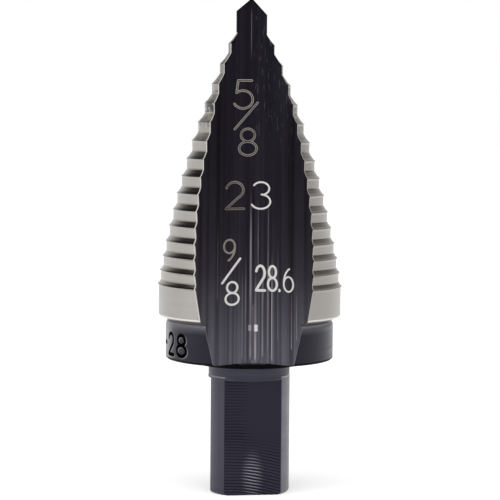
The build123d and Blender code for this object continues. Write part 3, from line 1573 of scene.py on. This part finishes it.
class StrokeFont:
    """Single-stroke numerals, as an engraving pantograph cuts them, in a cell of one by one."""

    def arc(self, x: float, y: float, width: float, height: float, start: float, end: float) -> list:
        """Sample part of an ellipse.

        Args:
            x: its centre's place across.
            y: its centre's place up.
            width: half its width.
            height: half its height.
            start: the first point's angle from the right, in degrees.
            end: the last point's angle.

        Returns:
            Points from the first to the last.
        """
        turns = np.radians(np.linspace(start, end, 20))
        return [(x + width * math.cos(t), y + height * math.sin(t)) for t in turns]

    def strokes(self, character: str) -> list[list[tuple[float, float]]]:
        """Give a character's strokes.

        Args:
            character: a digit, a slash, a dash or a point.

        Returns:
            For each stroke, its points.
        """
        arc = self.arc
        match character:
            case "2":
                return [arc(0.5, 0.7, 0.45, 0.3, 165, -35) + [(0.03, 0.0), (0.98, 0.0)]]
            case "3":
                upper = arc(0.48, 0.76, 0.42, 0.24, 150, -80)
                return [upper, arc(0.46, 0.27, 0.5, 0.27, 85, -155)]
            case "5":
                return [[(0.9, 1.0), (0.2, 1.0), (0.12, 0.56)], arc(0.45, 0.32, 0.5, 0.32, 132, -150)]
            case "6":
                return [arc(1.02, 0.34, 0.96, 0.66, 118, 180), arc(0.5, 0.3, 0.44, 0.3, 0, 360)]
            case "7":
                return [[(0.05, 1.0), (0.95, 1.0), (0.35, 0.0)]]
            case "8":
                return [arc(0.5, 0.76, 0.37, 0.24, 0, 360), arc(0.5, 0.26, 0.47, 0.26, 0, 360)]
            case "9":
                return [arc(0.5, 0.7, 0.44, 0.3, 0, 360), arc(-0.02, 0.66, 0.96, 0.66, 0, -62)]
            case "/":
                return [[(0.0, 0.0), (1.0, 1.0)]]
            case "-":
                return [[(0.1, 0.5), (0.9, 0.5)]]
            case ".":
                return [[(0.5, 0.0), (0.5, 0.05)]]
        return []


@dataclass(frozen=True)
class Numeral:
    """One character of a mark, in millimetres on the surface.

    Attributes:
        character: the character.
        left: place of its box's left side.
        foot: height of its box's foot.
        width: its box's width.
        height: its box's height.
        stroke: width of its stroke.
    """

    character: str
    left: float
    foot: float
    width: float
    height: float
    stroke: float


@dataclass
class Engraving:
    """Numerals laid on one surface of the drill as very thin inlaid strips.

    Attributes:
        name: the piece's name.
        numerals: its characters.
        finish: how the strips are finished.
        lift: how far a strip stands above the surface, in millimetres.
        sink: how far it goes below.
        step: length of its faces.
        cap: the half-round ends' points, in degrees.
        font: the characters' shapes.
    """

    name: str
    numerals: tuple[Numeral, ...]
    finish: Finish
    lift: float = 0.012
    sink: float = 0.05
    step: float = 0.12
    cap: tuple[float, ...] = (20.0, 50.0, 80.0)
    font: StrokeFont = field(default_factory=StrokeFont)

    def place(self, across: float, up: float, lift: float) -> Point:
        """Find a point on the surface; each surface says how."""
        raise NotImplementedError

    def build(self) -> bpy.types.Object:
        """Build and dress the strips.

        Returns:
            The piece.
        """
        stock = Stock()
        for numeral in self.numerals:
            for stroke in self.font.strokes(numeral.character):
                path = [
                    Vector((numeral.left + x * numeral.width, numeral.foot + y * numeral.height))
                    for x, y in stroke
                ]
                self.lay_strip(stock, self.divide(path), numeral.stroke / 2)
        strips = link(self.name, stock.mesh(self.name))
        strips.data.materials.append(self.finish.make())
        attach(strips, BODY)
        log.info("%s: %d numerals", self.name, len(self.numerals))
        return strips

    def divide(self, path: list[Vector]) -> list[Vector]:
        """Divide a path into short, equal runs.

        Args:
            path: its corners.

        Returns:
            Its corners and the points between them.
        """
        divided = [path[0]]
        for start, end in zip(path, path[1:]):
            count = max(1, round((end - start).length / self.step))
            divided += [start.lerp(end, (i + 1) / count) for i in range(count)]
        return divided

    def lay_strip(self, stock: Stock, path: list[Vector], half: float) -> None:
        """Add one stroke with half-round ends.

        Args:
            stock: the mesh in the making.
            path: the stroke's middle line.
            half: half its width.
        """
        last = len(path) - 1
        runs = [(path[min(i + 1, last)] - path[max(i - 1, 0)]).normalized() for i in range(last + 1)]
        stations = [(path[0], runs[0], -turn) for turn in reversed(self.cap)]
        stations += [(point, run, 0.0) for point, run in zip(path, runs)]
        stations += [(path[-1], runs[-1], turn) for turn in self.cap]
        corners = ((1, -self.sink), (1, self.lift), (-1, self.lift), (-1, -self.sink))
        previous = []
        for point, run, turn in stations:
            angle = math.radians(turn)
            reach = half * math.cos(angle)
            centre = point + run * half * math.sin(angle)
            side = Vector((-run.y, run.x)) * reach
            spots = [(centre + side * sign, lift) for sign, lift in corners]
            rim = [stock.point(*self.place(spot.x, spot.y, lift)) for spot, lift in spots]
            if previous:
                for k in range(4):
                    j = (k + 1) % 4
                    stock.face([previous[k], previous[j], rim[j], rim[k]], Region.LAND)
            else:
                stock.face(rim[::-1], Region.LAND)
            previous = rim
        stock.face(previous, Region.LAND)


@dataclass
class FluteEngraving(Engraving):
    """Hole sizes cut into the flute's oxide down to bright steel."""

    flute: FluteShape = field(default_factory=FluteShape)

    def place(self, across: float, up: float, lift: float) -> Point:
        """Find a point over the flute's surface.

        Args:
            across: its place towards +X.
            up: its height.
            lift: how far it is from the surface.

        Returns:
            Its x, y and z.
        """
        reach = 0.05  # to the points beside it that give the surface's slope
        arc = self.flute.arc_at(across)
        spot = np.array(self.flute.spot(arc, up))
        beside = np.array(self.flute.spot(arc + reach, up)) - spot
        above = np.array(self.flute.spot(arc, up + reach)) - spot
        normal = Vector(np.cross(beside, above)).normalized()
        return tuple(Vector(spot) + normal * lift)


@dataclass
class CollarStamp(Engraving):
    """The size range stamped round the collar.

    Attributes:
        radius: the collar's radius.
        start: angle round it that the numerals are measured from, in degrees.
    """

    radius: float = 12.9575
    start: float = 180.0

    def place(self, across: float, up: float, lift: float) -> Point:
        """Find a point over the collar's round side.

        Args:
            across: its place round the collar from the stamp's start.
            up: its height.
            lift: how far it is from the surface.

        Returns:
            Its x, y and z.
        """
        angle = math.radians(self.start) + across / self.radius
        radius = self.radius + lift
        return radius * math.cos(angle), radius * math.sin(angle), up


class StepDrill:
    """The whole drill: its mesh, its finishes and its marks.

    Attributes:
        sizes: the turned sizes.
        head: the point, the steps, the collar and the boss.
        shank: the neck and the shank.
    """

    def __init__(self) -> None:
        """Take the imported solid's sizes."""
        self.sizes = DrillSizes()
        self.head = CuttingHead(self.sizes)
        self.shank = Shank(self.sizes)

    def finishes(self) -> list[Finish]:
        """List the finishes, each with what it gives the eye.

        Returns:
            The finishes in the order of the mesh's regions.
        """
        # Painted shadow: black at the foot, under the collar. Painted sheen: lighter towards the collar,
        # where the run-out curves up
        flute = (
            (20.62, "#08080A"),
            (20.85, "#5E5D66"),
            (25.0, "#59575F"),
            (29.5, "#4B4950"),
            (34.0, "#37343B"),
            (41.0, "#2C282F"),
            (50.0, "#221F25"),
            (60.0, "#1B181E"),
            (76.0, "#17151A"),
        )
        # Painted highlight: the upper rim's rounding painted pale
        collar = (
            (20.0, "#0D0D10"),
            (25.4, "#0F0F13"),
            (26.2, "#4A4A50"),
            (26.5, "#78787E"),
            (26.8, "#B0B0B4"),
        )
        neck, shank, edge = (
            ((0.0, colour), (RAMP_TOP, colour)) for colour in ("#43434D", "#34343B", "#060608")
        )
        flats = ((0.0, "#2B2A35"), (5.0, "#252430"), (9.0, "#1A1A24"), (18.0, "#1E1E29"))
        turned = ToolMarks(0.3, 30.0, Lay.ROUND, 0.001)
        wheeled = ToolMarks(0.3, 60.0, Lay.FLUTE, 0.004)
        drawn = ToolMarks(0.3, 20.0, Lay.UP, 0.002)
        milled = ToolMarks(0.46, 6.0, Lay.ROUND, 0.05)
        return [
            # Lands: satin grey, dull and spotted near the point, that mirror the room as blurs
            ChatteredSteel("ground_tool_steel", "#A29F9B", "#A9A6A2", 0.34),
            # Shoulders: the lands' steel painted darker as painted shade, with sharper mirrors below,
            # pale and mottled above
            ShoulderSteel("ground_shoulder_steel_painted_shade", "#87827B", "#98928B", 0.24),
            # Flute: near black, with silky grey streaks up it; it is painted lighter towards the collar
            # as a painted sheen where the run-out curves, and black at its foot as painted shadow under
            # the collar
            GroundFluteOxide("black_oxide_ground_flute", flute, 0.42, wheeled, 0.38, 0.2),
            # Lip: almost white, the brightest line of the drill; the same steel paints the highlight on
            # the last land's lowest edge
            GroundSteel("honed_edge_and_highlight_steel", "#EFEBE6", "#F4F0EB", 0.5, 0.2),
            # Collar: black with a soft gloss, pale on its upper rim as a painted highlight and on its
            # left edge as a painted sheen
            SideSheenOxide(
                "black_oxide_turned_collar", collar, 0.34, turned, 0.1, 0.4, -11.4, -12.7, 0.75, "#9A9AA0"
            ),
            # Worn edges: dull grey lines where the black has gone; the same steel paints the highlight on
            # the left of the shank's top bevel
            GroundSteel("worn_edge_and_highlight_steel", "#6E6C70", "#8C898C", 0.4, 0.5),
            # Neck: a grey black, slightly paler than the shank
            BlackOxide("black_oxide_neck", neck, 0.4, turned, 0.1, 0.4),
            # Shank: black with an oily gloss, painted grey along its right side as a painted sheen where
            # light falls
            SideSheenOxide("black_oxide_turned_shank", shank, 0.36, drawn, 0.15, 0.7),
            # Flats: black with bowed bright lines that fade upwards
            MilledOxide("black_oxide_milled_flat", flats, 0.32, milled, 0.9, 0.4),
            # Heel's edge: a pale grey line, quieter than the lip's; the same steel paints the brighter
            # highlight on the right of the shank's top bevel
            GroundSteel("honed_heel_and_highlight_steel", "#BDB8B1", "#C4BFB8", 0.5, 0.4),
            # Dark edges: nearly no light comes back; near-black oxide on the point, and painted shade on
            # the collar's foot, the boss and the neck's top under it
            BlackOxide("dark_oxide_edge_and_painted_shade", edge, 0.6, turned, 0.1, 0.1),
        ]

    def build(self) -> bpy.types.Object:
        """Build and dress the drill's body, and mark it.

        Returns:
            The body.
        """
        stock = Stock()
        self.shank.build(stock, self.head.build(stock))
        body = link("drill_body", stock.mesh("drill_body"))
        for finish in self.finishes():
            body.data.materials.append(finish.make())
        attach(body, BODY)
        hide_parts(NODE)
        log.info("drill_body: %d faces", len(body.data.polygons))
        self.mark_flute()
        self.stamp_collar()
        return body

    def mark_flute(self) -> None:
        """Engrave the hole sizes in the flute."""
        upper = (
            Numeral("/", -2.5, 56.1, 3.5, 4.1, 0.34),
            Numeral("8", -1.9, 52.1, 2.9, 4.1, 0.34),
            Numeral("2", -3.85, 43.9, 2.9, 4.1, 0.36),
        )
        tilted = (
            Numeral("5", -2.6, 59.3, 3.0, 4.3, 0.34),
            Numeral("9", -4.1, 35.8, 1.9, 3.4, 0.3),
        )
        facing = (
            Numeral("3", 0.2, 43.9, 3.0, 4.1, 0.28),
            Numeral("/", -4.2, 32.7, 2.7, 3.6, 0.34),
            Numeral("8", -3.75, 29.4, 2.15, 3.4, 0.32),
            Numeral("2", 0.9, 31.5, 1.45, 3.7, 0.4),
            Numeral("8", 2.75, 31.5, 1.45, 3.7, 0.36),
            Numeral(".", 4.3, 31.5, 0.5, 3.7, 0.34),
            Numeral("6", 5.1, 31.5, 1.6, 3.7, 0.26),
        )
        cores = tuple(replace(numeral, stroke=0.14) for numeral in (*upper, tilted[0]))
        # Dull steel: patchy grey strokes, cut lightly; the dark line within them is painted shade in the
        # groove
        patchy = ToolMarks(0.9, 2.0, Lay.ROUND)
        dull = GroundSteel("engraved_dull_steel", "#8E8680", "#C2BAB4", 0.4, 0.4, patchy)
        groove = GroundSteel("engraved_groove_painted_shade", "#1C191B", "#3A3536", 0.6, 0.0)
        # Tan and bright steel: strokes that catch more light, painted lighter as painted highlights, the
        # last ones almost white
        tan = GroundSteel("engraved_tan_steel_painted_highlight", "#ABA397", "#C9C2B8", 0.4, 0.4)
        white = GroundSteel("engraved_bright_steel_painted_highlight", "#FBF8F5", "#FFFFFF", 0.5, 0.0)
        FluteEngraving("flute_sizes_upper", upper, dull).build()
        FluteEngraving("flute_sizes_groove_painted_shade", cores, groove, lift=0.018).build()
        FluteEngraving("flute_sizes_tilted", tilted, tan).build()
        FluteEngraving("flute_sizes_facing", facing, white).build()

    def stamp_collar(self) -> None:
        """Stamp the size range on the collar."""
        stamp = (
            Numeral("7", -1.4, 21.8, 2.0, 3.2, 0.55),
            Numeral("-", 1.4, 21.8, 1.6, 3.2, 0.55),
            Numeral("2", 4.1, 21.8, 2.1, 3.2, 0.55),
            Numeral("8", 7.2, 21.8, 2.5, 3.2, 0.55),
        )
        # Painted highlight: grey copies of the numerals set to the lower right
        rims = tuple(replace(n, left=n.left + 0.2, foot=n.foot - 0.1) for n in stamp)
        # Stamped strokes: quite black, with a grey painted highlight on their lower right side, where
        # their rims catch the light
        ink = ((0.0, "#050506"), (RAMP_TOP, "#050506"))
        fine = ToolMarks(0.3, 3.0, Lay.UP, 0.001)
        dark = BlackOxide("stamped_oxide", ink, 1.0, fine, 0.1, 0.0)
        rim = GroundSteel("stamped_painted_highlight_steel", "#6A6A70", "#77777D", 0.4, 0.3)
        CollarStamp("collar_size_painted_highlights", rims, rim, lift=0.004).build()
        CollarStamp("collar_size_range", stamp, dark).build()


@dataclass(frozen=True)
class SoftBox:
    """A tall soft light.

    Attributes:
        name: its name.
        place: where it hangs, in metres.
        power: its power in watts.
        size: its width and height, in metres.
        aim: what it points at.
    """

    name: str
    place: Point
    power: float
    size: tuple[float, float] = (0.5, 0.9)
    aim: Point = (0.0, 0.0, 0.04)

    def hang(self) -> None:
        """Put the light into the scene."""
        data = bpy.data.lights.new(self.name, "AREA")
        data.shape = "RECTANGLE"
        data.size, data.size_y = self.size
        data.energy = self.power
        light = link(self.name, data)
        light.location = self.place
        aim = Vector(self.aim) - Vector(self.place)
        light.rotation_euler = aim.to_track_quat("-Z", "Y").to_euler()
        log.info("%s hung", self.name)


@dataclass
class Studio:
    """The camera, the floor, the soft lights and the white surroundings.

    Attributes:
        camera_place: the camera's place, in metres.
        camera_aim: what it points at.
        camera_roll: its turn about its own axis, in degrees.
        lens: its focal length, in millimetres on a sensor 36 wide.
        floor_size: the floor's side, in metres.
        floor_drop: how far the floor lies below the drill, so that the two do not touch.
        floor_glow: the light that the floor adds where it is seen.
        lights: the soft lights.
        bounce: brightness of the surroundings as they light the drill.
    """

    camera_place: Point = (0.0, -0.3000, 0.05881)
    camera_aim: Point = (0.0, 0.0, 0.03747)
    camera_roll: float = 0.447
    lens: float = 139.93
    floor_size: float = 6.0
    floor_drop: float = 0.00002
    floor_glow: float = 0.4
    lights: tuple[SoftBox, ...] = (
        SoftBox("soft_box_left", (-0.6, -0.25, 0.25), 0.9),
        SoftBox("soft_box_right", (0.6, -0.2, 0.25), 0.12),
    )
    bounce: float = 0.85

    def set_camera(self) -> None:
        """Place the camera, looking slightly down."""
        data = bpy.data.cameras.new("camera")
        data.lens = self.lens
        data.sensor_width = 36.0
        data.clip_start = 0.01
        camera = link("camera", data)
        aim = Vector(self.camera_aim) - Vector(self.camera_place)
        turn = aim.to_track_quat("-Z", "Y").to_matrix().to_4x4()
        roll = Matrix.Rotation(math.radians(self.camera_roll), 4, "Z")
        camera.matrix_world = Matrix.Translation(self.camera_place) @ turn @ roll
        bpy.context.scene.camera = camera
        log.info("camera set")

    def lay_floor(self) -> None:
        """Lay the pale floor, which shows white but keeps the drill's shadow."""
        half = self.floor_size / 2
        mesh = bpy.data.meshes.new("floor")
        corners = [(-half, -half), (half, -half), (half, half), (-half, half)]
        mesh.from_pydata([(x, y, -self.floor_drop) for x, y in corners], [], [(0, 1, 2, 3)])
        # Paper: matt and almost white, and it glows a little where it is seen directly
        material = bpy.data.materials.new("pale_studio_paper")
        nodes = Nodes(material)
        path = nodes.add("ShaderNodeLightPath").outputs
        matt = {"Color": linear("#F2F2F2"), "Roughness": 1.0}
        paper = nodes.add("ShaderNodeBsdfDiffuse", {}, matt).outputs[0]
        light = {"Color": linear("#FFFFFF"), "Strength": self.floor_glow}
        glow = nodes.add("ShaderNodeEmission", {}, light).outputs[0]
        lit = nodes.add("ShaderNodeAddShader", {}, (paper, glow)).outputs[0]
        shown = nodes.add(*HIGHER, (path["Is Camera Ray"], path["Is Glossy Ray"])).outputs[0]
        seen = nodes.add("ShaderNodeMixShader", {}, (shown, paper, lit)).outputs[0]
        nodes.add("ShaderNodeOutputMaterial", {}, {"Surface": seen})
        mesh.materials.append(material)
        floor = link("floor", mesh)
        log.info("floor laid")

    def surround(self) -> None:
        """Set the surroundings: white walls, with dark above and behind the camera."""
        world = bpy.data.worlds.new("studio")
        bpy.context.scene.world = world
        nodes = Nodes(world, "Generated")
        x, y, z = nodes.axes
        path = nodes.add("ShaderNodeLightPath").outputs
        ceiling = nodes.add(*EASE, (x, -0.2, 0.7, 0.03, 1.3)).outputs[0]
        overhead = nodes.add(*EASE, (z, 0.14, 0.5, 1.0, ceiling)).outputs[0]
        front = nodes.add(*EASE, (y, -0.9, -0.2, 0.12, 1.0)).outputs[0]
        sides = nodes.add(*EASE, (x, 0.0, 0.9, 0.97, 0.15)).outputs[0]
        walls = nodes.add(*TIMES, (overhead, front)).outputs[0]
        walls = nodes.add(*TIMES, (walls, sides)).outputs[0]
        diffuse = {0: path["Is Diffuse Ray"], 2: walls, 3: self.bounce}
        mirrored = nodes.add("ShaderNodeMix", {}, diffuse).outputs[0]
        direct = {0: path["Is Camera Ray"], 2: mirrored, 3: 1.0}
        seen = nodes.add("ShaderNodeMix", {}, direct).outputs[0]
        light = {"Color": linear("#FFFFFF"), "Strength": seen}
        shade = nodes.add("ShaderNodeBackground", {}, light).outputs[0]
        nodes.add("ShaderNodeOutputWorld", {}, {"Surface": shade})
        log.info("surroundings set")

    def build(self) -> None:
        """Lay the floor, hang the lights and set the surroundings."""
        self.lay_floor()
        for light in self.lights:
            light.hang()
        self.surround()


def main() -> None:
    """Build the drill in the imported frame, then the studio round it."""
    logging.basicConfig(level=logging.INFO, format="%(name)s: %(message)s")
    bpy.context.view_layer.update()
    bpy.context.scene.view_settings.view_transform = "Standard"
    studio = Studio()
    studio.set_camera()
    StepDrill().build()
    studio.build()


if __name__ == "__main__":
    main()
